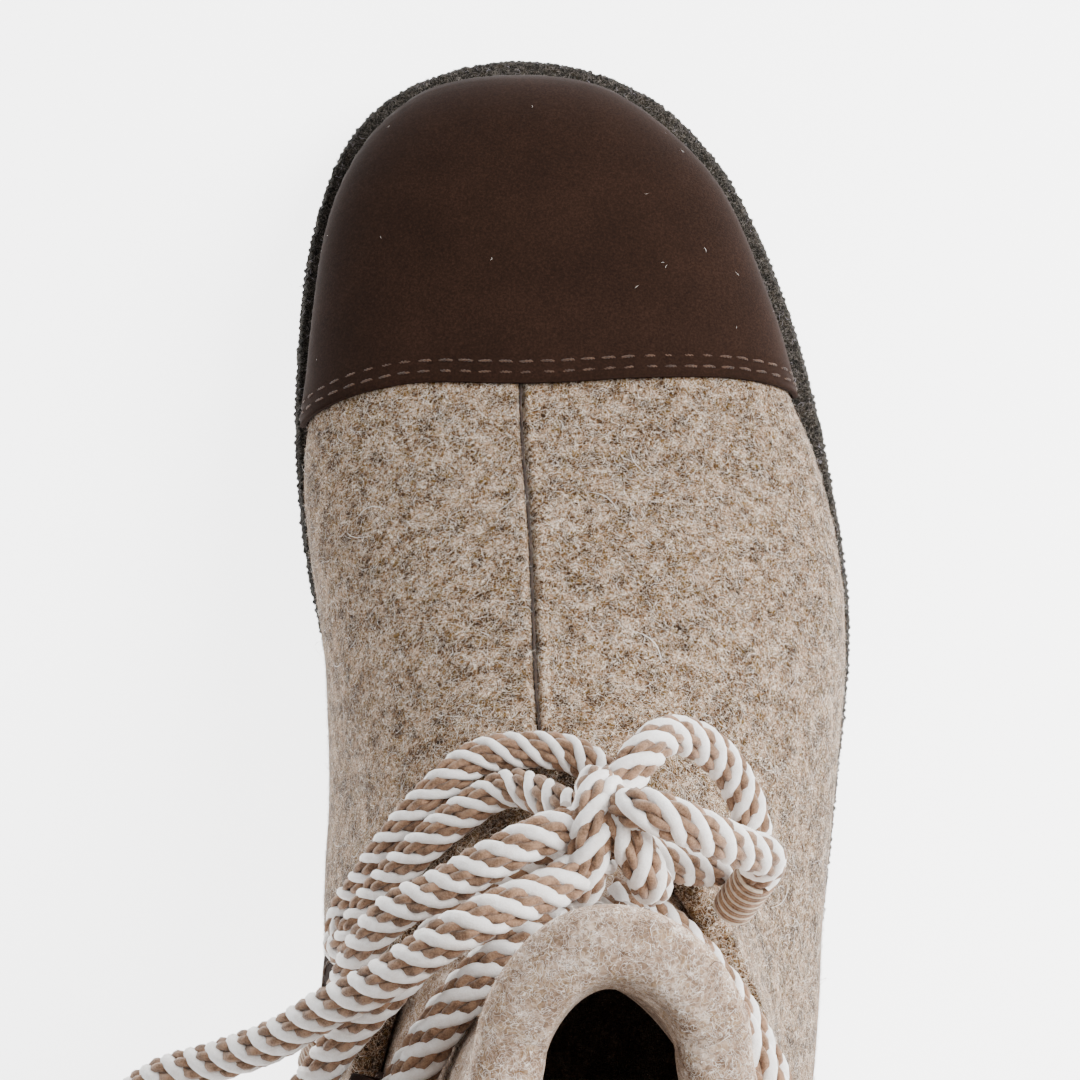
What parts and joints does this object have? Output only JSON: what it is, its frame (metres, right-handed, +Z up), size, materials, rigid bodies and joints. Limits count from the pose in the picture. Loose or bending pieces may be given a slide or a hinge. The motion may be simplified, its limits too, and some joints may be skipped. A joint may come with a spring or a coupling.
{
  "type": "felt boot",
  "caption": "Ankle-high right boot of thick felt with a leather toe cap, a dark sole edge and a rope lace tied in a bow round the ankle",
  "frame": {"origin": "on the floor, under the middle of the sole's outline", "axes": "toe points along +Y, inner (medial) side of the foot at -X, outer (lateral) side at +X, +Z up"},
  "size_m": [0.1217, 0.266, 0.1537],
  "materials": {
    "rubber_dark": "matt",
    "sole_edge_grey": "woolly",
    "felt_insole": "felt",
    "felt_beige": "melange felt",
    "leather_brown": "nubuck",
    "metal_eyelet": "satin",
    "rope_tan": "laid rope",
    "thread_tan": "thread"
  },
  "bodies": {
    "root": {"outsole": "rubber_dark", "midsole": "sole_edge_grey", "insole": "felt_insole", "upper": "felt_beige", "shaft": "felt_beige", "toe_cap": "leather_brown", "lace_tab": "leather_brown", "eyelet": "metal_eyelet", "rope_keeper": "leather_brown", "lace_wraps": "rope_tan", "lace_bars": "rope_tan", "lace_knot": "rope_tan", "lace_loop_left": "rope_tan", "lace_loop_right": "rope_tan", "lace_end_left": "rope_tan", "lace_end_right": "rope_tan", "lace_tip_left": "thread_tan", "lace_tip_right": "thread_tan"}
  },
  "joints": []
}
